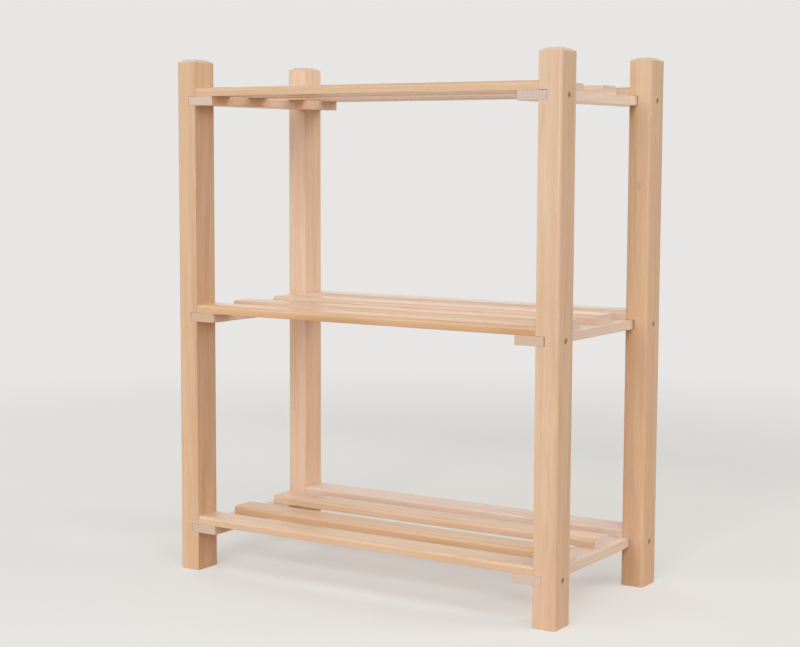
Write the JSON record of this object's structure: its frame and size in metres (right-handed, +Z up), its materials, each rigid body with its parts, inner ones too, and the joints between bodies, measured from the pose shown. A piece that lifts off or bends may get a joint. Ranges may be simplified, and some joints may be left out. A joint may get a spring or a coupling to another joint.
{
  "type": "shoe rack",
  "caption": "Free-standing open wooden shoe rack: upright posts carry slatted shelves on cross battens that are housed and screwed into the posts.",
  "frame": {"origin": "on the floor, in the middle of the four posts' footprint", "axes": "+Z up, +X to the right along the shelves, the front faces -Y"},
  "size_m": [0.584, 0.292, 0.7],
  "materials": {
    "post_wood": "clear satin finish",
    "batten_wood": "clear satin finish",
    "slat_wood": "clear satin finish",
    "screw_steel": "yellow zinc plated"
  },
  "bodies": {
    "root": {"post_front_left": "post_wood", "post_front_right": "post_wood", "post_rear_left": "post_wood", "post_rear_right": "post_wood", "batten_bottom_left": "batten_wood", "batten_bottom_right": "batten_wood", "slat_bottom_front": "slat_wood", "slat_bottom_front_middle": "slat_wood", "slat_bottom_rear_middle": "slat_wood", "slat_bottom_rear": "slat_wood", "post_screws_bottom": "screw_steel", "slat_screws_bottom": "screw_steel", "batten_middle_left": "batten_wood", "batten_middle_right": "batten_wood", "slat_middle_front": "slat_wood", "slat_middle_front_middle": "slat_wood", "slat_middle_rear_middle": "slat_wood", "slat_middle_rear": "slat_wood", "post_screws_middle": "screw_steel", "slat_screws_middle": "screw_steel", "batten_top_left": "batten_wood", "batten_top_right": "batten_wood", "slat_top_front": "slat_wood", "slat_top_front_middle": "slat_wood", "slat_top_rear_middle": "slat_wood", "slat_top_rear": "slat_wood", "post_screws_top": "screw_steel", "slat_screws_top": "screw_steel"}
  },
  "joints": []
}
